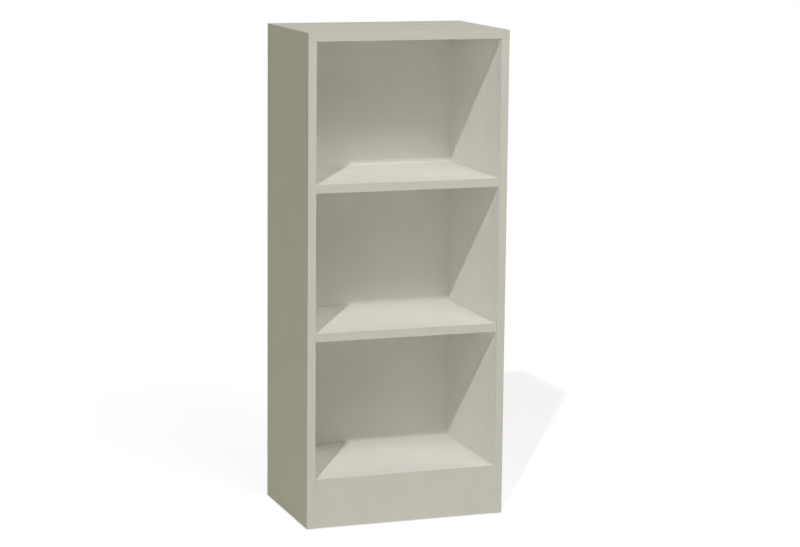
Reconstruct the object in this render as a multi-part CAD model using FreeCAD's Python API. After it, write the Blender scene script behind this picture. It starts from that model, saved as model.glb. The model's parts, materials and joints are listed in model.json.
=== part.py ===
"""Open bookcase of flat-pack board, with three compartments over a plinth.

Two side panels carry an overlaid top, a fixed upper shelf, a loose lower shelf on pins, a bottom shelf
and a plinth. Cam fittings and dowels hold the panels together, a thin back is nailed over their rear
edges, two brackets under the top take wall screws, and nail-on glides carry the sides. Each visible
front edge, and each end of the top, has its own plastic edging strip.

Millimetres. +Z is up and the front faces -Y. The origin is the middle of the footprint, on the floor.
"""

import FreeCAD
import Part

import math
import os
from collections import defaultdict

Vector = FreeCAD.Vector
X, Y, Z = Vector(1, 0, 0), Vector(0, 1, 0), Vector(0, 0, 1)
FULL_TURN_DEGREES = 360.0
HALF_TURN_DEGREES = 180.0

# Carcass
WIDTH = 440.0  # over the outer faces of the side panels
CARCASS_HEIGHT = 1040.0  # lower ends of the side panels to the upper face of the top
SIDE_DEPTH = 292.0  # side panels, front edging included
BOARD = 18.0  # thickness of every melamine-faced board
TOP_OVERHANG = 0.5  # top, in front of the side panels
PLINTH_HEIGHT = 87.0
PLINTH_SETBACK = 1.5  # this set-back and the next three are behind the fronts of the side panels
BOTTOM_SHELF_SETBACK = 2.0
UPPER_SHELF_SETBACK = 0.5
LOWER_SHELF_SETBACK = 2.0
LOWER_SHELF_PLAY = 0.5  # at each end of the loose shelf, and behind it

# Edging strips
EDGING = 1.0  # thickness of the strip
EDGE_RADIUS = 0.4  # rounding of its outer edges
ROUNDING_LIMIT_SHARE = 0.9  # of the strip's thickness, which the rounding stays below

# Clearances of pieces in their bores, and of cuts
FIT = 0.05  # on the radius
BORE_END = 1.0  # past the end of a piece in a blind bore
OVERRUN = 1.0  # of a cut past the face that it opens

# Back and its nails
BACK = 3.0  # thickness of the fibreboard
BACK_INSET = 2.0  # from the outer faces of the sides and the top
NAIL_LENGTH = 20.0
NAIL_RADIUS = 0.8
NAIL_HEAD_RADIUS = 2.0
NAIL_HEAD = 0.7  # thickness of the head, sunk flush into the back
NAIL_POINT = 2.5  # length of the tapered tip
NAIL_PITCH = 130.0  # nails are evenly spaced, as near to this as the edge allows
NAIL_END = 32.0  # first and last nail from the ends of a row down a side

# Cam fittings
FITTING_INSET = 50.0  # fitting from the front and from the rear of its panel
CAM_REACH = 24.0  # cam's axis from the end of its panel
CAM_WALL = 2.4
CAM_FLOOR = 1.0  # cam's own floor, under the bolt's head
CAM_SINK = 0.2  # cam's face below the panel's face
CAM_HEAD_ROOM = 1.8  # cavity beyond the radius of the bolt's head
CAM_HEAD_PLAY = 0.3  # cavity above and below the bolt's head
CAM_SLOT_DEGREES = 120.0  # turn of the slot that the bolt's neck runs in
CAM_LOCK_DEGREES = 30.0  # bolt from the closed end of that slot
DRIVE_LENGTH = 8.0  # cross recess for the screwdriver
DRIVE_WIDTH = 2.0
DRIVE_DEPTH = 3.0
DRIVE_SOCKET_RADIUS = 1.9  # round middle of the recess
BOLT_THREAD = 11.0  # length screwed into the mating panel
BOLT_THREAD_RADIUS = 2.5
BOLT_COLLAR = 1.5
BOLT_COLLAR_RADIUS = 3.8
BOLT_SHANK_RADIUS = 3.0
BOLT_NECK_RADIUS = 1.7
BOLT_NECK_LEAD = 1.5  # neck outside the cam's wall
BOLT_HEAD = 3.5
BOLT_HEAD_RADIUS = 3.2
BOLT_BORE_PLAY = 0.2  # round the bolt's collar
CAP = 0.9  # cover cap over each cam that faces the upper compartment
CAP_LIP = 1.2  # cap past the rim of its cam
CAP_BEVEL = 0.4

# Dowels
DOWEL_RADIUS = 4.0
DOWEL_IN_FACE = 11.0  # length in the panel whose face is bored
DOWEL_IN_END = 19.0  # length in the panel whose end is bored
DOWEL_CHAMFER = 1.0
DOWEL_OFFSET = 32.0  # from the fitting beside it
PLINTH_CAM_HEIGHT = 28.0  # above the plinth's lower edge, as the next one
PLINTH_DOWEL_HEIGHT = 62.0
PLINTH_DOWEL_SPACING = 180.0  # between the two dowels up into the bottom shelf

# Shelf pins
PIN_INSET = 40.0  # from the front and the rear of the loose shelf
PIN_RADIUS = 2.5
PIN_DEPTH = 9.0  # in the side panel
PIN_COLLAR = 0.8
PIN_COLLAR_RADIUS = 4.5
PIN_REACH = 9.0  # out of the side panel
PIN_REST_RADIUS = 3.5
PIN_SEAT = 2.4  # flat of the rest above the pin's axis

# Wall brackets, in the corner of the top and the back
BRACKET_SPACING = 240.0  # between the middles of the two
BRACKET_WIDTH = 20.0
BRACKET_STEEL = 2.0  # thickness of the strip
BRACKET_BEND = 2.0  # inner radius of its bend
BRACKET_ARM = 42.0  # forward under the top
BRACKET_LEG = 22.0  # down the back
WALL_HOLE_RADIUS = 2.5  # through the leg and the back, for a wall screw
WALL_HOLE_DROP = 15.0  # below the underside of the top
SCREW_FIRST = 15.0  # first screw up into the top, from the back
SCREW_SPACING = 16.0
SCREW_RADIUS = 1.75
SCREW_LENGTH = 14.0  # under the head
SCREW_POINT = 3.0
SCREW_HEAD = 2.2
SCREW_HEAD_RADIUS = 3.4
SCREW_HEAD_BEVEL = 1.0
SCREW_SLOT = 1.0  # width of the cross in the head
SCREW_SLOT_DEPTH = 1.2
SCREW_SLOT_LENGTH = 4.0
SCREW_HOLE_PLAY = 0.25  # round the screw, in the bracket

# Glides
GLIDE_RADIUS = 8.0
GLIDE_FOOT_RADIUS = 6.5
GLIDE_FLOOR = 1.2  # plastic under the nail's head
GLIDE_COVER = 1.0  # plastic over the nail's head
GLIDE_INSET = 35.0  # from the front and the rear of the side panel
GLIDE_NAIL_LENGTH = 16.0  # above the glide
GLIDE_NAIL_RADIUS = 1.0
GLIDE_NAIL_POINT = 3.0
GLIDE_NAIL_HEAD = 0.8
GLIDE_NAIL_HEAD_RADIUS = 3.5

# Sizes and places that several pieces share
CAM_CAVITY_RADIUS = BOLT_HEAD_RADIUS + CAM_HEAD_ROOM
CAM_RADIUS = CAM_CAVITY_RADIUS + CAM_WALL
CAM_HALF_CAVITY = BOLT_HEAD_RADIUS + CAM_HEAD_PLAY
CAM_SEAT = -CAM_HALF_CAVITY - CAM_FLOOR  # floor of the cam's bore, from the bolt's axis
SPIGOT = DRIVE_DEPTH + CAM_SINK - BORE_END  # length of a cap's spigot
GLIDE_HEAD = GLIDE_FLOOR + GLIDE_NAIL_HEAD  # upper face of the glide nail's head
GLIDE_HEIGHT = GLIDE_HEAD + GLIDE_COVER
OUTER = WIDTH / 2
INNER = OUTER - BOARD
SIDE_MIDDLE = OUTER - BOARD / 2
TOP_FRONT = -(TOP_OVERHANG + SIDE_DEPTH + BACK) / 2
FRONT = TOP_FRONT + TOP_OVERHANG
REAR = FRONT + SIDE_DEPTH
BASE = GLIDE_HEIGHT
CROWN = BASE + CARCASS_HEIGHT
TOP_UNDERSIDE = CROWN - BOARD
BOTTOM_SHELF = BASE + PLINTH_HEIGHT  # undersides of the three shelves
OPENING = (TOP_UNDERSIDE - BOTTOM_SHELF - 3 * BOARD) / 3  # clear height of each compartment
LOWER_SHELF = BOTTOM_SHELF + BOARD + OPENING
UPPER_SHELF = LOWER_SHELF + BOARD + OPENING
SIDES = {"left_side_panel": -1, "right_side_panel": 1}

parts = defaultdict(list)  # node name to its solids
bores = defaultdict(list)  # node name to what is cut out of its solid


def block(low, high):
    """Box between two opposite corners."""
    return Part.makeBox(*(b - a for a, b in zip(low, high)), Vector(*low))


def rod(radius, start, end):
    """Cylinder along X."""
    return Part.makeCylinder(radius, end - start, X * start, X)


def turned(outline):
    """Solid turned about X from (x, radius) points, the first and last of them on the axis."""
    points = [Vector(along, 0, radius) for along, radius in outline]
    profile = Part.Face(Part.makePolygon(points + points[:1]))
    return profile.revolve(Vector(), X, FULL_TURN_DEGREES)


def placed(shape, origin, along, up):
    """Copy of a shape with its X turned to along, its Z to up and its origin put at origin."""
    axes = (along, up.cross(along), up, origin)
    rows = [[getattr(axis, name) for axis in axes] for name in "xyz"]
    copy = shape.copy()
    copy.Placement = FreeCAD.Placement(FreeCAD.Matrix(*rows[0], *rows[1], *rows[2])) * shape.Placement
    return copy


def corner_arc(corner, radius, leaving, arriving):
    """Arc that rounds a corner between the directions that point away from it along its two sides."""
    inset = radius * (1 - math.sqrt(0.5))
    middle = corner + (leaving + arriving) * inset
    return Part.Arc(corner + leaving * radius, middle, corner + arriving * radius).toShape()


def rounded_outline(depth, width, radius):
    """Face in the YZ plane, depth along Y by width along Z, with both corners at y = 0 rounded."""
    low, high = Vector(), Z * width
    rear = Y * depth
    edges = [
        Part.makeLine(low + Z * radius, high - Z * radius),
        corner_arc(high, radius, -Z, Y),
        Part.makeLine(high + Y * radius, high + rear),
        Part.makeLine(high + rear, low + rear),
        Part.makeLine(low + rear, low + Y * radius),
        corner_arc(low, radius, Y, Z),
    ]
    return Part.Face(Part.Wire(edges))


def edging_strip(length, round_ends=False):
    """Strip along X that backs onto y = EDGING, a board thick along Z, with rounded outer edges."""
    radius = min(EDGE_RADIUS, EDGING * ROUNDING_LIMIT_SHARE)
    strip = rounded_outline(EDGING, BOARD, radius).extrude(X * length)
    if round_ends:
        plan = rounded_outline(EDGING, length, radius).extrude(X * BOARD)
        strip = strip.common(placed(plan, X * length, Z, -X)).Solids[0]
    return strip


def cross_recess(length, width, floor, mouth):
    """Both bars of a cross about Z, from floor up to mouth."""
    half, thick = length / 2, width / 2
    bar = block((-half, -thick, floor), (half, thick, mouth))
    return [bar, placed(bar, Vector(), Y, Z)]


def cam():
    """Cam along Z at CAM_REACH on the bolt's axis, its recess on top, locked on a bolt from -X."""
    high = BOARD / 2 - CAM_SINK
    body = Part.makeCylinder(CAM_RADIUS, high - CAM_SEAT, Z * CAM_SEAT)
    cavity = Part.makeCylinder(CAM_CAVITY_RADIUS, 2 * CAM_HALF_CAVITY, Z * -CAM_HALF_CAVITY)
    half_slot = BOLT_NECK_RADIUS + FIT
    rim = CAM_RADIUS + OVERRUN
    slot = Part.makeCylinder(rim, 2 * half_slot, Z * -half_slot, Z, CAM_SLOT_DEGREES)
    slot.rotate(Vector(), Z, HALF_TURN_DEGREES - CAM_LOCK_DEGREES)
    entry = rod(BOLT_HEAD_RADIUS + FIT, -rim, 0)
    entry.rotate(Vector(), Z, CAM_SLOT_DEGREES - CAM_LOCK_DEGREES)
    floor = high - DRIVE_DEPTH
    socket = Part.makeCylinder(DRIVE_SOCKET_RADIUS, DRIVE_DEPTH + OVERRUN, Z * floor)
    recess = cross_recess(DRIVE_LENGTH, DRIVE_WIDTH, floor, high + OVERRUN)
    solid = body.cut([cavity, slot, entry, socket, *recess]).Solids[0]
    return placed(solid, X * CAM_REACH, X, Z)


def cam_bolt():
    """Bolt along X: thread below zero in the mating panel, head inside the cam."""
    neck = CAM_REACH - CAM_RADIUS - BOLT_NECK_LEAD
    head = CAM_REACH - math.sqrt(CAM_CAVITY_RADIUS**2 - BOLT_HEAD_RADIUS**2) + FIT
    return turned(
        [
            (-BOLT_THREAD, 0),
            (-BOLT_THREAD, BOLT_THREAD_RADIUS),
            (0, BOLT_THREAD_RADIUS),
            (0, BOLT_COLLAR_RADIUS),
            (BOLT_COLLAR, BOLT_COLLAR_RADIUS),
            (BOLT_COLLAR, BOLT_SHANK_RADIUS),
            (neck, BOLT_SHANK_RADIUS),
            (neck, BOLT_NECK_RADIUS),
            (head, BOLT_NECK_RADIUS),
            (head, BOLT_HEAD_RADIUS),
            (head + BOLT_HEAD, BOLT_HEAD_RADIUS),
            (head + BOLT_HEAD, 0),
        ]
    )


def cam_cap():
    """Cover cap along X: its disc stands on x = 0 and its spigot goes down into the cam's recess."""
    spigot_radius = DRIVE_SOCKET_RADIUS - FIT
    radius = CAM_RADIUS + CAP_LIP
    return turned(
        [
            (-SPIGOT, 0),
            (-SPIGOT, spigot_radius),
            (0, spigot_radius),
            (0, radius),
            (CAP - CAP_BEVEL, radius),
            (CAP, radius - CAP_BEVEL),
            (CAP, 0),
        ]
    )


def dowel():
    """Wood dowel along X, with chamfered ends: below zero it is in the bored face."""
    tip = DOWEL_RADIUS - DOWEL_CHAMFER
    return turned(
        [
            (-DOWEL_IN_FACE, 0),
            (-DOWEL_IN_FACE, tip),
            (DOWEL_CHAMFER - DOWEL_IN_FACE, DOWEL_RADIUS),
            (DOWEL_IN_END - DOWEL_CHAMFER, DOWEL_RADIUS),
            (DOWEL_IN_END, tip),
            (DOWEL_IN_END, 0),
        ]
    )


def shelf_pin():
    """Shelf pin along X: stem below zero in the side, then collar and rest, flat at PIN_SEAT."""
    pin = turned(
        [
            (-PIN_DEPTH, 0),
            (-PIN_DEPTH, PIN_RADIUS),
            (0, PIN_RADIUS),
            (0, PIN_COLLAR_RADIUS),
            (PIN_COLLAR, PIN_COLLAR_RADIUS),
            (PIN_COLLAR, PIN_REST_RADIUS),
            (PIN_REACH, PIN_REST_RADIUS),
            (PIN_REACH, 0),
        ]
    )
    past = PIN_COLLAR_RADIUS + OVERRUN
    return pin.cut(block((0, -past, PIN_SEAT), (PIN_REACH + OVERRUN, past, past))).Solids[0]


def back_nail():
    """Nail along X, its head from zero and its point inside the board."""
    return turned(
        [
            (0, 0),
            (0, NAIL_HEAD_RADIUS),
            (NAIL_HEAD, NAIL_HEAD_RADIUS),
            (NAIL_HEAD, NAIL_RADIUS),
            (NAIL_LENGTH - NAIL_POINT, NAIL_RADIUS),
            (NAIL_LENGTH, 0),
        ]
    )


def wall_hole(thickness):
    """Cut for a wall screw, through a thickness in front of y = 0, below the bracket's corner."""
    hole = rod(WALL_HOLE_RADIUS, -OVERRUN, thickness + OVERRUN)
    return placed(hole, Z * -WALL_HOLE_DROP, -Y, Z)


def bracket():
    """Wall bracket across x = 0: its corner is at the origin, its arm runs to -Y and its leg to -Z."""
    outer = BRACKET_BEND + BRACKET_STEEL
    tip, toe = Y * -BRACKET_ARM, Z * -BRACKET_LEG
    inner_corner = (Y + Z) * -BRACKET_STEEL
    edges = [
        Part.makeLine(tip, Y * -outer),
        corner_arc(Vector(), outer, -Y, -Z),
        Part.makeLine(Z * -outer, toe),
        Part.makeLine(toe, toe - Y * BRACKET_STEEL),
        Part.makeLine(toe - Y * BRACKET_STEEL, inner_corner - Z * BRACKET_BEND),
        corner_arc(inner_corner, BRACKET_BEND, -Z, -Y),
        Part.makeLine(inner_corner - Y * BRACKET_BEND, tip - Z * BRACKET_STEEL),
        Part.makeLine(tip - Z * BRACKET_STEEL, tip),
    ]
    strip = Part.Face(Part.Wire(edges)).extrude(X * BRACKET_WIDTH)
    strip.translate(X * (-BRACKET_WIDTH / 2))
    screw_hole = rod(SCREW_RADIUS + SCREW_HOLE_PLAY, -OVERRUN, BRACKET_STEEL + OVERRUN)
    holes = [placed(screw_hole, Y * -y, -Z, X) for y in (SCREW_FIRST, SCREW_FIRST + SCREW_SPACING)]
    return strip.cut([*holes, wall_hole(BRACKET_STEEL)]).Solids[0]


def bracket_screw():
    """Round-headed screw along X: its head is below zero and its thread above."""
    screw = turned(
        [
            (-SCREW_HEAD, 0),
            (-SCREW_HEAD, SCREW_HEAD_RADIUS - SCREW_HEAD_BEVEL),
            (SCREW_HEAD_BEVEL - SCREW_HEAD, SCREW_HEAD_RADIUS),
            (0, SCREW_HEAD_RADIUS),
            (0, SCREW_RADIUS),
            (SCREW_LENGTH - SCREW_POINT, SCREW_RADIUS),
            (SCREW_LENGTH, 0),
        ]
    )
    floor = SCREW_HEAD - SCREW_SLOT_DEPTH
    recess = cross_recess(SCREW_SLOT_LENGTH, SCREW_SLOT, floor, SCREW_HEAD + OVERRUN)
    return screw.cut([placed(bar, Vector(), Z, -X) for bar in recess]).Solids[0]


def glide_nail():
    """Nail along X, upright in use: its head is inside the glide, which stands on x = 0."""
    tip = GLIDE_HEIGHT + GLIDE_NAIL_LENGTH
    return turned(
        [
            (GLIDE_FLOOR, 0),
            (GLIDE_FLOOR, GLIDE_NAIL_HEAD_RADIUS),
            (GLIDE_HEAD, GLIDE_NAIL_HEAD_RADIUS),
            (GLIDE_HEAD, GLIDE_NAIL_RADIUS),
            (tip - GLIDE_NAIL_POINT, GLIDE_NAIL_RADIUS),
            (tip, 0),
        ]
    )


def glide():
    """Plastic glide along X, moulded round the head of its nail."""
    body = turned([(0, 0), (0, GLIDE_FOOT_RADIUS), (GLIDE_HEIGHT, GLIDE_RADIUS), (GLIDE_HEIGHT, 0)])
    return body.cut(glide_nail()).Solids[0]


def fit_cam(joint, origin, along, up, face_panel, end_panel, capped=False):
    """Cam fitting from the face of one panel into the end of another: along points into the end."""
    parts[joint + "_cam_bolts"].append(placed(cam_bolt(), origin, along, up))
    parts[joint + "_cams"].append(placed(cam(), origin, along, up))
    thread_bore = rod(BOLT_THREAD_RADIUS + FIT, -BOLT_THREAD - BORE_END, OVERRUN)
    bores[face_panel].append(placed(thread_bore, origin, along, up))
    bolt_bore = rod(BOLT_COLLAR_RADIUS + BOLT_BORE_PLAY, -OVERRUN, CAM_REACH)
    cam_floor = X * CAM_REACH + Z * CAM_SEAT
    cam_bore = Part.makeCylinder(CAM_RADIUS + FIT, BOARD / 2 - CAM_SEAT + OVERRUN, cam_floor)
    bores[end_panel] += [placed(bore, origin, along, up) for bore in (bolt_bore, cam_bore)]
    if capped:
        seat = origin + along * CAM_REACH + up * (BOARD / 2)
        parts["cam_caps"].append(placed(cam_cap(), seat, up, along))


def fit_dowel(joint, origin, along, up, face_panel, end_panel):
    """Dowel from the face of one panel into the end of another."""
    parts[joint + "_dowels"].append(placed(dowel(), origin, along, up))
    radius = DOWEL_RADIUS + FIT
    face_bore = rod(radius, -DOWEL_IN_FACE - BORE_END, OVERRUN)
    end_bore = rod(radius, -OVERRUN, DOWEL_IN_END + BORE_END)
    bores[face_panel].append(placed(face_bore, origin, along, up))
    bores[end_panel].append(placed(end_bore, origin, along, up))


def side_panels():
    """Both side panels, each with its front edging, its glides and the nails of these."""
    height = TOP_UNDERSIDE - BASE
    nail_bore = rod(GLIDE_NAIL_RADIUS + FIT, BASE - OVERRUN, BASE + GLIDE_NAIL_LENGTH + BORE_END)
    for name, hand in SIDES.items():
        low, high = sorted((hand * INNER, hand * OUTER))
        parts[name].append(block((low, FRONT + EDGING, BASE), (high, REAR, TOP_UNDERSIDE)))
        edging = name.replace("panel", "edging")
        parts[edging].append(placed(edging_strip(height), Vector(high, FRONT, BASE), Z, -X))
        for y in (FRONT + GLIDE_INSET, REAR - GLIDE_INSET):
            foot = Vector(hand * SIDE_MIDDLE, y, 0)
            parts["floor_glides"].append(placed(glide(), foot, Z, X))
            parts["glide_nails"].append(placed(glide_nail(), foot, Z, X))
            bores[name].append(placed(nail_bore, foot, Z, X))


def top_panel():
    """Top laid over the side panels, with edging on its front and both ends."""
    end = OUTER - EDGING
    front = TOP_FRONT + EDGING
    parts["top_panel"].append(block((-end, front, TOP_UNDERSIDE), (end, REAR, CROWN)))
    corner = Vector(-OUTER, TOP_FRONT, TOP_UNDERSIDE)
    parts["top_front_edging"].append(placed(edging_strip(WIDTH, round_ends=True), corner, X, Z))
    end_strip = edging_strip(REAR - front)
    parts["top_left_edging"].append(placed(end_strip, Vector(-OUTER, REAR, TOP_UNDERSIDE), -Y, Z))
    parts["top_right_edging"].append(placed(end_strip, Vector(OUTER, front, TOP_UNDERSIDE), Y, Z))
    for name, hand in SIDES.items():
        inwards = X * -hand
        for y, turn in ((FRONT + FITTING_INSET, 1), (REAR - FITTING_INSET, -1)):
            seat = Vector(hand * SIDE_MIDDLE, y, TOP_UNDERSIDE)
            fit_cam("top", seat, -Z, inwards, "top_panel", name, capped=True)
            fit_dowel("top", seat + Y * turn * DOWEL_OFFSET, -Z, inwards, "top_panel", name)


def shelf_board(name, underside, setback, play=0.0):
    """Shelf between the side panels, with edging on its front; play is left at both ends and behind."""
    end = INNER - play
    front = FRONT + setback
    parts[name].append(block((-end, front + EDGING, underside), (end, REAR - play, underside + BOARD)))
    parts[name + "_edging"].append(placed(edging_strip(2 * end), Vector(-end, front, underside), X, Z))


def fixed_shelf(name, underside, setback):
    """Shelf held at both ends by cam fittings, bored from below, and dowels."""
    shelf_board(name, underside, setback)
    for side, hand in SIDES.items():
        inwards = X * -hand
        for y, turn in ((FRONT + setback + FITTING_INSET, 1), (REAR - FITTING_INSET, -1)):
            seat = Vector(hand * INNER, y, underside + BOARD / 2)
            fit_cam(name, seat, inwards, -Z, side, name)
            fit_dowel(name, seat + Y * turn * DOWEL_OFFSET, inwards, -Z, side, name)


def loose_shelf():
    """Lower shelf, which rests loose on four pins and pulls out to the front."""
    shelf_board("lower_shelf", LOWER_SHELF, LOWER_SHELF_SETBACK, LOWER_SHELF_PLAY)
    front, rear = FRONT + LOWER_SHELF_SETBACK, REAR - LOWER_SHELF_PLAY
    stem_bore = rod(PIN_RADIUS + FIT, -PIN_DEPTH - BORE_END, OVERRUN)
    for side, hand in SIDES.items():
        for y in (front + PIN_INSET, rear - PIN_INSET):
            seat = Vector(hand * INNER, y, LOWER_SHELF - PIN_SEAT)
            parts["shelf_pins"].append(placed(shelf_pin(), seat, X * -hand, Z))
            bores[side].append(placed(stem_bore, seat, X * -hand, Z))


def plinth_panel():
    """Plinth under the bottom shelf, between the side panels."""
    face = FRONT + PLINTH_SETBACK
    middle = face + BOARD / 2
    parts["plinth_panel"].append(block((-INNER, face, BASE), (INNER, face + BOARD, BOTTOM_SHELF)))
    for side, hand in SIDES.items():
        inwards = X * -hand
        seat = Vector(hand * INNER, middle, BASE)
        fit_cam("plinth", seat + Z * PLINTH_CAM_HEIGHT, inwards, Y, side, "plinth_panel")
        fit_dowel("plinth", seat + Z * PLINTH_DOWEL_HEIGHT, inwards, Y, side, "plinth_panel")
        upright = Vector(hand * PLINTH_DOWEL_SPACING / 2, middle, BOTTOM_SHELF)
        fit_dowel("plinth", upright, -Z, Y, "bottom_shelf", "plinth_panel")


def spaced(start, end):
    """Places from start to end, about a nail pitch apart."""
    steps = max(1, round((end - start) / NAIL_PITCH))
    return [start + (end - start) * step / steps for step in range(steps + 1)]


def back_panel():
    """Thin back over the rear edges of the panels, and the nails that hold it."""
    half = OUTER - BACK_INSET
    crown = CROWN - BACK_INSET
    parts["back_panel"].append(block((-half, REAR, BOTTOM_SHELF), (half, REAR + BACK, crown)))
    rows = {"top_panel": TOP_UNDERSIDE, "upper_shelf": UPPER_SHELF, "bottom_shelf": BOTTOM_SHELF}
    across = spaced(-SIDE_MIDDLE, SIDE_MIDDLE)[1:-1]
    upright = spaced(BOTTOM_SHELF + NAIL_END, TOP_UNDERSIDE - NAIL_END)
    places = [(panel, x, rows[panel] + BOARD / 2) for panel in rows for x in across]
    places += [(side, SIDES[side] * SIDE_MIDDLE, z) for side in SIDES for z in upright]
    head_bore = rod(NAIL_HEAD_RADIUS + FIT, -OVERRUN, NAIL_HEAD)
    shank_bore = rod(NAIL_RADIUS + FIT, -OVERRUN, NAIL_LENGTH + BORE_END)
    for panel, x, z in places:
        face = Vector(x, REAR + BACK, z)
        parts["back_nails"].append(placed(back_nail(), face, -Y, Z))
        bores["back_panel"] += [placed(bore, face, -Y, Z) for bore in (head_bore, shank_bore)]
        bores[panel].append(placed(shank_bore, face, -Y, Z))


def wall_brackets():
    """Two brackets that tie the top to a wall through the back, each with two screws."""
    pilot = rod(SCREW_RADIUS + FIT, -OVERRUN, SCREW_LENGTH - BRACKET_STEEL + BORE_END)
    for hand in SIDES.values():
        corner = Vector(hand * BRACKET_SPACING / 2, REAR, TOP_UNDERSIDE)
        parts["wall_brackets"].append(placed(bracket(), corner, X, Z))
        bores["back_panel"].append(placed(wall_hole(BACK), corner + Y * BACK, X, Z))
        for y in (SCREW_FIRST, SCREW_FIRST + SCREW_SPACING):
            hole = corner - Y * y
            parts["bracket_screws"].append(placed(bracket_screw(), hole - Z * BRACKET_STEEL, Z, X))
            bores["top_panel"].append(placed(pilot, hole, Z, X))


def main():
    side_panels()
    top_panel()
    fixed_shelf("upper_shelf", UPPER_SHELF, UPPER_SHELF_SETBACK)
    fixed_shelf("bottom_shelf", BOTTOM_SHELF, BOTTOM_SHELF_SETBACK)
    loose_shelf()
    plinth_panel()
    back_panel()
    wall_brackets()
    os.makedirs("parts", exist_ok=True)
    for node, solids in parts.items():
        if node in bores:
            solids = solids[0].cut(bores[node]).Solids
        shape = solids[0] if len(solids) == 1 else Part.makeCompound(solids)
        shape.exportStep(f"parts/{node}.step")


main()
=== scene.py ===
"""Looks of an open bookcase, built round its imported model.

The boards, the back, the cams and the wall brackets are the model's own nodes, with procedural finishes.
Edging strips are swept along the edges that they cover, and nails, screws, bolts, dowels, pins, caps and
glides are set out on the places of the nodes that they stand for.
"""

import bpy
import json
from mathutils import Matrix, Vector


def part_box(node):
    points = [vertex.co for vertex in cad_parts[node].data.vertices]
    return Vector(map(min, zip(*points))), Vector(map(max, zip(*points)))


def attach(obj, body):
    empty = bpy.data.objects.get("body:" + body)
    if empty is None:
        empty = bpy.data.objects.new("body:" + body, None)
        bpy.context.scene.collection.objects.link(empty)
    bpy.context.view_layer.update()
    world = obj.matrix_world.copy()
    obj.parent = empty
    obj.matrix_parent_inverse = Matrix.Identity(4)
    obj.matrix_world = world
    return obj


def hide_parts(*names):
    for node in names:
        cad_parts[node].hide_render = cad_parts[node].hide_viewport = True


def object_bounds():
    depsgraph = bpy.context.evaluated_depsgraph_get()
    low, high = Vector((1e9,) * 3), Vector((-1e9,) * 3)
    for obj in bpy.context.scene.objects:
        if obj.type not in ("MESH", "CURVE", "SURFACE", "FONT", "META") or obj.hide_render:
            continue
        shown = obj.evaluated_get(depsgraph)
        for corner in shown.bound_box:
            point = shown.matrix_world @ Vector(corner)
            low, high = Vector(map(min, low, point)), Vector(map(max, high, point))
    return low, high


bl_info = {
    "name": "Open Bookcase",
    "version": (1, 0, 0),
    "blender": (4, 5, 0),
    "location": "3D View > Sidebar > Bookcase",
    "description": "Finishes, edging and fittings of an open bookcase, and the stage that it stands on",
    "category": "Object",
}

import json
import math

import bmesh
import bpy
from bpy.props import FloatProperty, FloatVectorProperty, IntProperty, PointerProperty
from mathutils import Matrix, Vector

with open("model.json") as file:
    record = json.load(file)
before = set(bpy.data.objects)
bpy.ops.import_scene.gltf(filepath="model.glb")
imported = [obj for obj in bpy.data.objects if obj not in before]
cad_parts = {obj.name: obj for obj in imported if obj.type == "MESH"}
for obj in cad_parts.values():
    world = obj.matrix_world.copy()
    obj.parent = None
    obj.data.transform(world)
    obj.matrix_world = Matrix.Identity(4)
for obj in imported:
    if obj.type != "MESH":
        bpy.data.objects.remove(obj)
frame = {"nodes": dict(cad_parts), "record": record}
CAD_BOX = [list(corner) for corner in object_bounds()]
NODES = frame["nodes"]
BODY_OF = {node: body for body, nodes in frame["record"]["behaviour"]["bodies"].items() for node in nodes}

MM = 0.001
WELD = 1e-6  # metres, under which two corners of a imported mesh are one
TURN = 2 * math.pi
SHARP = math.radians(38)  # bend over which a fitting's corner isn't smoothed
FACING = 0.7  # part of a normal along an axis, over which a face looks that way
FIRST_SEED = 11  # of the chance turns of fittings
THREAD_ROWS = 8  # rings of corners in one turn of a thread

# Reliefs of finishes, from their lowest to their highest points
PEBBLE_RELIEF = 0.02 * MM  # pressed melamine and moulded plastic
CHIP_RELIEF = 0.4 * MM  # cut edge of chipboard
FELT_RELIEF = 0.15 * MM  # bare fibreboard
PLATING_RELIEF = 0.03 * MM
WOOD_RELIEF = 0.05 * MM

# Layers of a board
SKIN = 1.0 * MM  # printed skin at a cut edge, drawn thick enough to show
CORE = (5.0 * MM, 6.5 * MM)  # from the board's middle, where fine chips start and where coarse ones end
CHIP_FLATNESS = 2.6  # length of a chip to its thickness

# Floor of the stage, in metres
FLOOR_HALF = 6.0
FLOOR_LEVEL = -0.2 * MM  # just under the glides
FLOOR_FADE = (1.4, 2.6)  # from the middle, where the floor starts to fade and where it is gone
SENSOR = 36.0  # width of the camera's sensor in millimetres

# Boards, with the axis across the thickness of each, the way along it that looks out of the bookcase, and the
# tone on that face: a copy of the one melamine print, lighter or darker than the rest as painted light or
# shade
BOARDS = {
    "left_side_panel": (0, -1, "sides"),
    "right_side_panel": (0, 1, "sides"),
    "plinth_panel": (1, -1, "edging"),
    "top_panel": (2, 1, "top"),
    "upper_shelf": (2, 0, "inside"),
    "lower_shelf": (2, 0, "inside"),
    "bottom_shelf": (2, 0, "inside"),
}
EDGINGS = [node for node in NODES if node.endswith("_edging")]
CAMS = [node for node in NODES if node.endswith("_cams")]
BOLTS = [node for node in NODES if node.endswith("_cam_bolts")]
DOWELS = [node for node in NODES if node.endswith("_dowels")]

# Lamps of the stage, with the width and height of each in metres
LAMPS = {
    "key": (1.5, 1.5),
    "canopy": (6.0, 4.0),
    "front": (1.5, 0.7),
    "fill": (2.0, 3.0),
    "rear": (5.0, 3.0),
}


def linear(code):
    """Linear colour of an sRGB hex value."""
    shares = [int(code[start : start + 2], 16) / 255 for start in (1, 3, 5)]
    return [share / 12.92 if share <= 0.04045 else ((share + 0.055) / 1.055) ** 2.4 for share in shares]


def colour(name, description, code):
    """Colour property with its default as a hex value."""
    return FloatVectorProperty(
        name=name, description=description, subtype="COLOR", size=3, min=0, max=1, default=linear(code)
    )


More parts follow.
